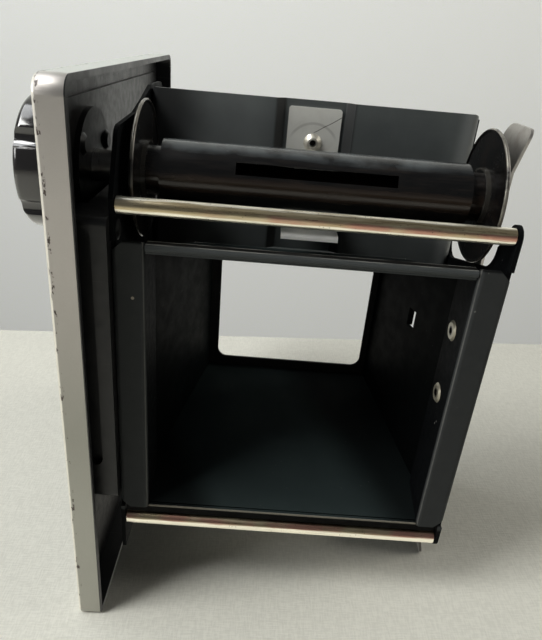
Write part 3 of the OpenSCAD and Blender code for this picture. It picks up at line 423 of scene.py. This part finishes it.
def tunnel_finish():
    """Matt black inside the light tunnel, with a touch of green, painted shade on its walls and
    towards its edges, and a glossier rolled lip with painted highlights.
    """
    made = Finish("tunnel_matt_black", Specular_IOR_Level=0.06)
    x, y, z = (made.axis(letter) for letter in "XYZ")
    lip = made.both(made.ramp(y, LIP_DEPTH, LIP_DEPTH - 0.3),
                    made.ramp(z, LIP_FOOT, LIP_FOOT + 0.5))
    crest_y, crest_z = LIP_CREST
    crest = made.both(made.ramp(made.off(y, crest_y), 0.22, 0.08),
                      made.ramp(z, crest_z - 0.3, crest_z))
    rear = made.both(made.ramp(y, 2.05, 2.2), lip, made.ramp(z, crest_z - 0.1, crest_z + 0.1))
    front = made.both(made.ramp(y, 1.0, 0.8), lip)
    lower_edge = made.both(made.ramp(y, 0.35, 0.2),
                           made.ramp(z, LOWER_LIP_FOOT - 0.05, LOWER_LIP_FOOT + 0.15),
                           made.ramp(z, LOWER_LIP_TOP, LOWER_LIP_TOP - 0.1))
    # the floor is lighter in front, and painted shade darkens it towards both walls and the
    # aperture
    base = made.blend(made.noise(9, 4, 0.6), *TUNNEL_FLOOR)
    across = made.add(x, made.times(y, FLOOR_SKEW))
    far = made.either(made.ramp(across, *FADE_RIGHT), made.ramp(across, *FADE_LEFT))
    base = made.layer(base, far, TUNNEL_FLOOR_SHADE, 0.8)
    # painted shade on the tunnel's upright walls
    upright = made.ramp(made.off(made.facing("Z"), 0), 0.6, 0.3)
    base = made.layer(base, upright, TUNNEL_WALL_SHADE, 0.85)
    base = made.layer(base, made.specks(1.3, 0.42, (7, 2, 9)), TUNNEL_DUST, 0.12)
    # painted shade below the lower lip's foot
    base = made.layer(base, made.ramp(z, LOWER_LIP_FOOT, LOWER_LIP_FOOT - 0.2), UNDER_LIP_SHADE)
    base = made.layer(base, lip, LIP_BLACK)
    base = made.layer(base, front, LIP_FRONT)
    # patchy painted highlights along the upper lip's crest and rear edge, and along the lower
    # lip's edge
    rubbed = made.ramp(made.noise(1.2, 4, 0.6, (6, 1, 1)), 0.35, 0.6)
    base = made.layer(base, made.times(made.either(crest, rear), rubbed), LIP_HIGHLIGHT, 0.75)
    base = made.layer(base, lower_edge, LOWER_LIP_HIGHLIGHT, 0.6)
    matt, lip_roughness = made.ramp(made.noise(3, 4), 0.3, 0.7, 0.55, 0.68), 0.36
    made.set(Base_Color=base, Roughness=made.level(lip, matt, lip_roughness))
    return made.bump(made.noise(0.25, 3, 0.6), 0.008)


BRASS = (0.36, 0.29, 0.17), (0.56, 0.48, 0.33)
COPPER_RED_REFLECTION = (0.46, 0.25, 0.19)
NICKEL = (0.92, 0.88, 0.75)
STREAK_BROWN = (0.14, 0.10, 0.07)
PIT_BROWN = (0.05, 0.035, 0.03)


def roller_finish(name, crest, foot, red_from):
    """Worn nickel on brass, banded by height: nickel above crest and below foot, as parts of the
    radius, placed as painted reflections of the wall and the table; worn to brass between them.

    A painted copper-red reflection lies on the brass just above the foot, to the right of
    red_from, in millimetres.
    """
    low, high = corner_places(name)
    made = Finish(name + "_worn_nickel", Metallic=1.0)
    middle, radius = (low.z + high.z) / 2, (high.z - low.z) / 2
    height = made.times(made.minus(made.axis("Z"), middle), 1 / radius)
    streak = made.noise(0.9, 5, 0.65, (18, 1, 1))
    fine = made.noise(0.16, 3, 0.6, (40, 1, 1), (5, 0, 0))
    wander = made.add(height, made.times(made.minus(streak, 0.5), 0.7))
    base = made.blend(made.ramp(streak, 0.35, 0.65), *BRASS)
    # painted copper-red reflection on the brass just above the foot
    red_reflection = made.both(made.ramp(wander, foot + 0.62, foot + 0.40),
                         made.ramp(made.noise(11, 2, 0.5, shift=(3, 0, 0)), 0.38, 0.56),
                         made.ramp(made.axis("X"), red_from - 6, red_from + 2))
    base = made.layer(base, red_reflection, COPPER_RED_REFLECTION)
    # painted reflections in nickel: the wall above the crest, the table below the foot
    nickel = made.either(made.ramp(wander, foot, foot - 0.2),
                         made.ramp(wander, crest, crest + 0.1))
    base = made.layer(base, nickel, NICKEL)
    base = made.layer(base, made.ramp(fine, 0.5, 0.75), STREAK_BROWN, 0.4)
    pits = made.specks(0.7, 0.50, (1, 8, 3))
    grain = made.add(made.times(streak, 0.6), made.times(fine, 0.4))
    made.set(Base_Color=made.layer(base, pits, PIT_BROWN),
             Roughness=made.ramp(grain, 0.3, 0.7, 0.24, 0.40))
    return made.bump(made.add(fine, made.times(pits, -1.5)), 0.008)


# Spool
JAPAN_BLACK = (0.003, 0.0029, 0.003)
JAPAN_BROWN = (0.026, 0.018, 0.0135)
JAPAN_NICK = (0.20, 0.16, 0.13)
JAPAN_GRAIN = (0.07, 0.055, 0.045)
CORE_BROWN_REFLECTION = (0.045, 0.028, 0.019)
CORE_TOP_REFLECTION = (0.078, 0.088, 0.092)
FLANGE_BLACK = (0.002, 0.002, 0.0022)
TIN_HIGHLIGHT = (0.52, 0.49, 0.42)
COLLAR_RING = 5.0, 5.45          # inner and outer radius of the painted highlight ring on a collar
TOP_REFLECTION_FROM = 4.2, 5.3            # heights above the axis between which the core gets a painted blue-grey reflection
TOP_REFLECTION_ENDS = 25, 18               # the painted reflection thins out between these towards the right
BROWN_REFLECTION_FOOT = -2.6, -1.4          # the core's painted brown reflection begins
BROWN_REFLECTION_TOP = 1.4, 0.4             # and ends between these heights


def spool_finish(name):
    """Japanned tin: deep black with brown where hands and paper have rubbed it."""
    made = Finish(name, Specular_IOR_Level=0.38)
    rubbed = made.ramp(made.noise(3.2, 5, 0.66, (7, 1, 1), (3, 3, 0)), 0.46, 0.68)
    fine = made.ramp(made.noise(0.5, 4, 0.6, (10, 1, 1)), 0.45, 0.7)
    base = made.blend(made.times(rubbed, 0.45), JAPAN_BLACK, JAPAN_BROWN)
    base = made.layer(base, made.specks(1.4, 0.40, (6, 1, 6)), JAPAN_NICK, 0.3)
    made.set(Base_Color=made.layer(base, fine, JAPAN_GRAIN, 0.10),
             Roughness=made.ramp(made.noise(2.4, 4, 0.6, (4, 1, 1)), 0.3, 0.7, 0.16, 0.28))
    return made.bump(made.noise(0.3, 3), 0.006)


def core_finish():
    """Spool core with a painted blue-grey reflection along its top and a painted brown reflection
    across its middle.
    """
    low, high = corner_places("spool_core")
    made = spool_finish("spool_core_japan")
    wander = made.times(made.minus(made.noise(1.5, 4, 0.6, (9, 1, 1)), 0.5), 0.9)
    height = made.add(made.minus(made.axis("Z"), (low.z + high.z) / 2), wander)
    # painted brown reflection across the core's middle
    brown_reflection = made.both(made.ramp(height, *BROWN_REFLECTION_FOOT), made.ramp(height, *BROWN_REFLECTION_TOP))
    made.over(brown_reflection, CORE_BROWN_REFLECTION, 0.45)
    top_reflection = made.both(made.ramp(height, *TOP_REFLECTION_FROM), made.ramp(made.noise(6, 3), 0.3, 0.6),
                      made.ramp(made.axis("X"), *TOP_REFLECTION_ENDS, 0.3))
    return made.over(top_reflection, CORE_TOP_REFLECTION, 0.75)


def flange_finish(name, node, lit_from):
    """Japanned spool end whose rolled rim and collar carry painted highlights of tin.

    The rim's painted highlight shows from lit_from upwards, in millimetres above the spool's axis.
    """
    low, high = corner_places(node)
    made = spool_finish(name)
    y, z = made.axis("Y"), made.axis("Z")
    centre, outer = (low + high) / 2, (high.z - low.z) / 2
    radius = made.distance(y, z, centre.y, centre.z)
    lit = centre.z + lit_from
    rim = made.both(made.ramp(radius, outer - 0.34, outer - 0.18),
                    made.ramp(made.noise(4, 4, 0.6), 0.34, 0.55), made.ramp(z, lit, lit + 9, 0.12))
    start, end = COLLAR_RING
    collar = made.both(made.ramp(radius, start - 0.05, start + 0.1),
                       made.ramp(radius, end + 0.05, end - 0.05))
    # painted highlights on the rim and the collar
    tin_highlight = made.either(made.times(rim, 0.36), made.times(collar, 0.06))
    made.over(made.ramp(radius, outer - 0.2, outer - 0.5), FLANGE_BLACK, 0.6)
    made.over(tin_highlight, TIN_HIGHLIGHT)
    return made.set(Roughness=made.level(tin_highlight, made.present("Roughness"), 0.24), Metallic=tin_highlight)


def metal(name, colour, dark, rough, stretch=(1, 1, 1), size=1.2):
    """Plated or bare metal with faint tarnish and a brushed grain."""
    made = Finish(name, Metallic=1.0)
    tarnish = made.ramp(made.noise(size * 3, 4, 0.6), 0.42, 0.72)
    grain = made.noise(0.25, 3, 0.6, stretch)
    made.set(Base_Color=made.blend(made.times(tarnish, 0.6), colour, dark),
             Roughness=made.ramp(grain, 0.25, 0.75, rough - 0.06, rough + 0.08))
    return made.bump(grain, 0.004)


LEAF_PLATING = (0.80, 0.80, 0.75), (0.68, 0.67, 0.62)
LEAF_TIP_HIGHLIGHT = (0.96, 0.96, 0.92)
LEAF_MARK = (0.10, 0.09, 0.075)
SCRATCH_RISE = 0.62              # slope of the leaf's long scratch
SCRATCH_HEIGHT = 45.6            # its height on the leaf's middle line
SCRATCH_SPAN = 0.0, 5.9          # where it begins and ends along X
LEAF_RIVET_HEIGHT = 42.2
WEAR_RING = 5.3                  # radius of the arc worn round the rivet
WEAR_FOOT = 44, 46               # the arc shows above these heights
TIP_DEPTH = 14.6, 13.4           # the curled tip gets a painted highlight in front of these depths


def leaf_finish():
    """Plated leaf spring with a long diagonal scratch, an arc of wear and a painted highlight on
    the curled tip.
    """
    made = metal("leaf_plating", *LEAF_PLATING, 0.46, (1, 1, 3), 2.0)
    made.set(Metallic=0.2)
    x, z = made.axis("X"), made.axis("Z")
    slant = made.minus(z, made.add(made.times(x, SCRATCH_RISE), SCRATCH_HEIGHT))
    wander = made.times(made.minus(made.noise(5, 2), 0.5), 0.5)
    start, end = SCRATCH_SPAN
    scratch = made.both(made.ramp(made.math("ABSOLUTE", made.add(slant, wander)), 0.13, 0.05),
                        made.ramp(x, start - 0.5, start + 0.5), made.ramp(x, end + 0.3, end - 0.3))
    radius = made.distance(x, z, 0, LEAF_RIVET_HEIGHT)
    ring = made.both(made.ramp(made.off(radius, WEAR_RING), 0.4, 0.1), made.ramp(z, *WEAR_FOOT))
    # painted highlight on the curled tip
    made.over(made.ramp(made.axis("Y"), *TIP_DEPTH), LEAF_TIP_HIGHLIGHT)
    marks = made.sum_of_marks(made.times(scratch, 0.85), made.times(ring, 0.25))
    return made.over(marks, LEAF_MARK)


RING_NICKEL = (0.82, 0.79, 0.69)
EYELET_NICKEL = (0.38, 0.355, 0.28)
RING_TARNISH = (0.30, 0.27, 0.21)
HOLLOW_SHADE = (0.012, 0.010, 0.008)


def hollow_finish(name, letters, centres, radius, colour=RING_NICKEL):
    """Plated ring round a hollow darkened by painted shade; letters are the axes across the
    hollow.
    """
    made = metal(name, colour, RING_TARNISH, 0.34, size=0.4)
    a, b = (made.axis(letter) for letter in letters)
    places = [made.distance(a, b, *centre) for centre in centres]
    nearest = places[0]
    for place in places[1:]:
        nearest = made.math("MINIMUM", nearest, place)
    # painted shade in the hollow
    made.over(made.ramp(nearest, radius + 0.05, radius - 0.1), HOLLOW_SHADE)
    return made.set(Metallic=0.6)


BAKELITE = (0.006, 0.006, 0.0065), (0.014, 0.011, 0.010)
LEATHER_CREASE, LEATHER_PEBBLE = (0.022, 0.022, 0.023), (0.008, 0.008, 0.0085)


def bakelite():
    """Polished black moulding of the knob, with a faint haze."""
    made = Finish("knob_bakelite", Specular_IOR_Level=0.6, Coat_Weight=0.5, Coat_Roughness=0.06)
    haze = made.noise(5, 4, 0.6)
    made.set(Base_Color=made.blend(haze, *BAKELITE),
             Roughness=made.ramp(haze, 0.3, 0.7, 0.10, 0.20))
    return made.bump(made.noise(0.6, 3), 0.005)


def leather_cloth():
    """Pebbled black leather cloth."""
    made = Finish("covering_leather_cloth", Specular_IOR_Level=0.45)
    pebbles = made.cells(1.1, feature="SMOOTH_F1")
    creases = made.noise(0.6, 3)
    made.set(Base_Color=made.blend(pebbles, LEATHER_CREASE, LEATHER_PEBBLE),
             Roughness=made.ramp(creases, 0.3, 0.7, 0.42, 0.6))
    return made.bump(made.minus(made.times(creases, 0.4), pebbles), 0.22)


EYELET_PLACES = (6.3, 15.3), (6.3, 1.2)     # y and z of the two eyelets
ALONG_SHAFT = (1, 14, 14)
ALONG_ARM = (1, 1, 10)
STEEL, STEEL_DARK = (0.42, 0.41, 0.39), (0.2, 0.17, 0.14)
ARM_STEEL = (0.42, 0.40, 0.375), (0.26, 0.235, 0.21)
ARM_STEEL_SHADED = (0.10, 0.095, 0.09), (0.06, 0.055, 0.05)
SCREW_NICKEL = (0.6, 0.57, 0.5), (0.25, 0.2, 0.15)
DULL_BRASS = (0.50, 0.38, 0.19), (0.2, 0.13, 0.07)
RIVET_STEEL = (0.4, 0.38, 0.35)

for nodes, coating in (
        ("cover_pan", cover_finish()),
        ("inner_panel", panel_finish()),
        ("spacer_frame spacer_rivets bush_rivets", spacer_finish()),
        ("side_covering", leather_cloth()),
        ("left_cheek", cheek_finish("left_cheek", -1)),
        ("right_cheek", cheek_finish("right_cheek", 1)),
        ("light_tunnel", tunnel_finish()),
        ("aperture_plate", black_paint("aperture_matt", 0.001, 0.6, 0.05, gloss=0.08)),
        ("upper_back_plate lower_back_plate back_plate_rivets", plate_finish()),
        ("upper_leaf_spring lower_leaf_spring", leaf_finish()),
        ("gate_eyelets", hollow_finish("eyelet_nickel", "YZ", EYELET_PLACES, 0.95, EYELET_NICKEL)),
        ("upper_roller", roller_finish("upper_roller", 0.84, -0.20, -15)),
        ("lower_roller", roller_finish("lower_roller", 1.4, 0.40, -60)),
        ("spool_core", core_finish()),
        ("spool_left_flange", flange_finish("left_flange_japan", "spool_left_flange", 2)),
        ("spool_right_flange", flange_finish("right_flange_japan", "spool_right_flange", -6)),
        ("winding_knob", bakelite()),
        ("winding_shaft supply_stud upper_pivot_stud lower_pivot_stud",
         metal("turned_steel", STEEL, STEEL_DARK, 0.32, ALONG_SHAFT)),
        ("knob_screw", metal("screw_nickel", *SCREW_NICKEL, 0.28)),
        ("shaft_bush", black_paint("bush_enamel", 0.003, 0.36, 0.15, gloss=0.2)),
        ("knob_washer", metal("dull_brass", *DULL_BRASS, 0.36)),
        ("upper_spring_arm", metal("arm_steel", *ARM_STEEL, 0.42, ALONG_ARM)),
        # the lower arm's steel is painted darker as painted shade
        ("lower_spring_arm", metal("shaded_arm_steel", *ARM_STEEL_SHADED, 0.42, ALONG_ARM)),
        ("upper_arm_rivets lower_arm_rivets",
         metal("arm_rivet_steel", RIVET_STEEL, STEEL_DARK, 0.35))):
    paint(nodes.split(), coating)
for rivet in ("upper_leaf_rivet", "lower_leaf_rivet"):
    middle = sum(corner_places(rivet), Vector()) / 2
    paint([rivet], hollow_finish(rivet + "_nickel", "XZ", [(middle.x, middle.z)], 0.7))


# ---------------------------------------------------------------- lanced flap

SLOT_EDGE = Vector((25.29, 25.72, 0))   # inner face of the right wall at the slot's front edge
SLOT_Z = (6.5, 10.95)                   # foot and top of the flap
SHEET = 0.6                             # thickness of the tunnel's sheet
TAPER = 16.2                            # degrees by which the right wall leans inwards
FLAP_T = 0.45                           # thickness of the flap, thinned by the bend
FLAP_REACH = 1.45                       # from the wall's inner face to the flap's end
FLAP_BEND = 0.2                         # inner radius of the bend


def new_piece(name, points, faces, finish):
    """New object with a mesh of these points, in metres, and faces."""
    mesh = bpy.data.meshes.new(name)
    mesh.from_pydata(points, [], faces)
    mesh.materials.append(finish.material)
    piece = bpy.data.objects.new(name, mesh)
    bpy.context.collection.objects.link(piece)
    return piece


def slot_flap():
    """Flap that the lanced slot's front edge keeps, bent outwards from the right wall."""
    turn = math.radians(TAPER)
    along = Vector((-math.sin(turn), math.cos(turn), 0))
    out = Vector((math.cos(turn), math.sin(turn), 0))
    outer, middle = FLAP_T + FLAP_BEND, SHEET + FLAP_BEND
    arc = [math.radians(degrees) for degrees in range(270, 179, -15)]
    profile = [(outer + outer * math.cos(a), middle + outer * math.sin(a)) for a in arc]
    # the flap's end, then back along the inner side of the bend
    profile += [(0, FLAP_REACH), (FLAP_T, FLAP_REACH)]
    profile += [(outer + FLAP_BEND * math.cos(a), middle + FLAP_BEND * math.sin(a))
                for a in reversed(arc)]
    points = [(SLOT_EDGE + along * u + out * v + Vector((0, 0, z))) * MM
              for z in SLOT_Z for u, v in profile]
    count = len(profile)
    faces = [tuple(range(count)), tuple(range(2 * count - 1, count - 1, -1))]
    faces += [(i, count + i, count + (i + 1) % count, (i + 1) % count) for i in range(count)]
    piece = new_piece("slot_flap", points, faces,
                      black_paint("flap_enamel", 0.003, 0.5, 0.1, gloss=0.1))
    form = bmesh.new()
    form.from_mesh(piece.data)
    bmesh.ops.recalc_face_normals(form, faces=form.faces)
    form.to_mesh(piece.data)
    form.free()
    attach(piece, "carrier")


slot_flap()


# ---------------------------------------------------------------- soft edges

SHARP = 35                       # degrees from which an edge counts as sharp


def soften(names, width):
    """Rounds the nodes' sharp edges by a small width, in millimetres, so that they catch light."""
    for name in names:
        piece = NODES[name]
        weld = piece.modifiers.new("weld", "WELD")
        weld.merge_threshold = 0.002 * MM
        bevel = piece.modifiers.new("soft_edges", "BEVEL")
        bevel.width = width * MM
        bevel.segments = 2
        bevel.limit_method = "ANGLE"
        bevel.angle_limit = math.radians(SHARP)
        bevel.use_clamp_overlap = True


soften(["cover_pan", "inner_panel", "left_cheek", "right_cheek", "upper_back_plate",
        "lower_back_plate", "spacer_frame", "aperture_plate"], 0.08)
soften(["upper_spring_arm", "lower_spring_arm", "upper_leaf_spring", "lower_leaf_spring",
        "winding_knob"], 0.06)


# ---------------------------------------------------------------- stage

LEAN = 4.3                       # tilt of the table in degrees: the part stands on its cover's
                                 # lower edge and leans on a finger tab
REACH = 1.2                      # half the table's width, in metres
TABLE_END = 0.128                # where the table ends behind the object, in metres
WALL_GAP = 0.40                  # from the table's far edge to the wall
WALL_TURN = -2.0                 # degrees by which the wall and that edge turn about Z
CLOTH, CLOTH_GLOW = (0.64, 0.635, 0.575), (1.0, 0.97, 0.86)
WALL, WALL_GLOW = (0.86, 0.875, 0.86), (0.98, 0.98, 0.91)


def plain(name, colour, roughness=0.9, bump=0.12):
    """Plain pale finish with a fine weave."""
    made = Finish(name, Roughness=roughness, Specular_IOR_Level=0.2)
    warp = made.noise(0.32, 1, 0.4, (1, 7, 1))
    weft = made.noise(0.32, 1, 0.4, (7, 1, 1), (4, 0, 0))
    weave = made.times(made.add(warp, weft), 0.5)
    shaded = tuple(0.90 * part for part in colour)
    made.set(Base_Color=made.blend(made.ramp(weave, 0.36, 0.64), shaded, colour))
    return made.bump(weave, bump)


def glow(finish, colour, to_camera, to_gloss):
    """A faint light of its own that only the camera and reflections see."""
    path = finish.node("ShaderNodeLightPath")
    seen = finish.add(finish.times(path.outputs["Is Camera Ray"], to_camera),
                      finish.times(path.outputs["Is Glossy Ray"], to_gloss))
    return finish.set(Emission_Color=colour, Emission_Strength=seen)


def on_table(x, y):
    """Point of the tilted table, which meets the cover's lower edge."""
    low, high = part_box("cover_pan")
    return Vector((x, y, low.z + (x - high.x) * math.tan(math.radians(LEAN))))


def slab(name, corners, finish):
    """Flat stage piece with four corners."""
    new_piece(name, corners, [(0, 1, 2, 3)], finish)


def set_stage():
    """Table that ends behind the object, and a wall well behind the table's far edge."""
    lean = math.radians(LEAN)
    up = Vector((-math.sin(lean), 0, math.cos(lean))) * REACH
    gap = Vector((0, WALL_GAP, 0))
    skew = REACH * math.tan(math.radians(WALL_TURN))
    left, right = on_table(-REACH, TABLE_END - skew), on_table(REACH, TABLE_END + skew)
    slab("table", [on_table(-REACH, -REACH), on_table(REACH, -REACH), right, left],
         glow(plain("table_cloth", CLOTH), CLOTH_GLOW, 0.0, 0.30))
    slab("wall", [left + gap - up, right + gap - up, right + gap + up, left + gap + up],
         glow(plain("wall_paint", WALL, 0.8, 0.02), WALL_GLOW, 0.19, 0.42))


set_stage()


# ---------------------------------------------------------------- lamps and camera

def lamp(name, place, side, watts, colour):
    """Square area lamp that points at the origin; place and side are in metres."""
    data = bpy.data.lights.new(name, "AREA")
    data.shape = "RECTANGLE"
    data.size = data.size_y = side
    data.energy = watts
    data.color = colour
    made = bpy.data.objects.new(name, data)
    made.location = place
    made.rotation_euler = (-Vector(place)).to_track_quat("-Z", "Y").to_euler()
    bpy.context.collection.objects.link(made)


def set_world(colour, strength, to_camera, to_gloss):
    """Dim even light, a pale background for the camera and a fainter one in reflections."""
    world = bpy.data.worlds.new("soft_room")
    world.use_nodes = True
    tree = world.node_tree
    shade = tree.nodes["Background"]
    shade.inputs["Color"].default_value = (*colour, 1)
    path = tree.nodes.new("ShaderNodeLightPath")
    sums = [tree.nodes.new("ShaderNodeMath") for _ in range(2)]
    for step, ray, amount in zip(sums, ("Is Camera Ray", "Is Glossy Ray"), (to_camera, to_gloss)):
        step.operation = "MULTIPLY_ADD"
        tree.links.new(path.outputs[ray], step.inputs[0])
        step.inputs[1].default_value = amount
    sums[0].inputs[2].default_value = strength
    tree.links.new(sums[0].outputs[0], sums[1].inputs[2])
    tree.links.new(sums[1].outputs[0], shade.inputs["Strength"])
    bpy.context.scene.world = world


set_world((0.93, 0.97, 1.0), 0.03, 0.6, 0.12)
lamp("window", (-0.4, -0.15, 0.55), 0.25, 3.0, (1.0, 1.0, 0.97))
lamp("low_window", (-0.6, -0.2, 0.25), 0.3, 1.95, (1.0, 1.0, 0.98))
lamp("high_back", (-0.3, 0.1, 0.5), 0.25, 0.9, (0.97, 0.99, 1.0))
lamp("far_side", (0.5, 0.05, 0.3), 0.3, 1.5, (1.0, 0.96, 0.88))

CAMERA_PLACE = Vector((-8.79, -93.63, 63.44)) * MM
CAMERA_DOWN = 26.06              # degrees below level
CAMERA_YAW = -1.554              # degrees about Z; negative is to the right
CAMERA_ROLL = 5.137
LENS = 32.80                     # focal length for Blender's default sensor, in millimetres


def set_camera():
    """Camera at the photograph's viewing angle, looking along +Y and down."""
    down, yaw, roll = (math.radians(a) for a in (CAMERA_DOWN, CAMERA_YAW, CAMERA_ROLL))
    forward = Vector((0, math.cos(down), -math.sin(down)))
    right = Vector((1, 0, 0))
    up = right.cross(forward)
    turn = Matrix.Rotation(yaw, 3, "Z")
    right, up, forward = turn @ right, turn @ up, turn @ forward
    right, up = (right * math.cos(roll) + up * math.sin(roll),
                 up * math.cos(roll) - right * math.sin(roll))
    data = bpy.data.cameras.new("camera")
    data.lens = LENS
    data.clip_start = 1 * MM
    made = bpy.data.objects.new("camera", data)
    made.matrix_world = Matrix.Translation(CAMERA_PLACE) @ Matrix(
        (right, up, -forward)).transposed().to_4x4()
    bpy.context.collection.objects.link(made)
    bpy.context.scene.camera = made


set_camera()
bpy.context.scene.view_settings.view_transform = "Standard"
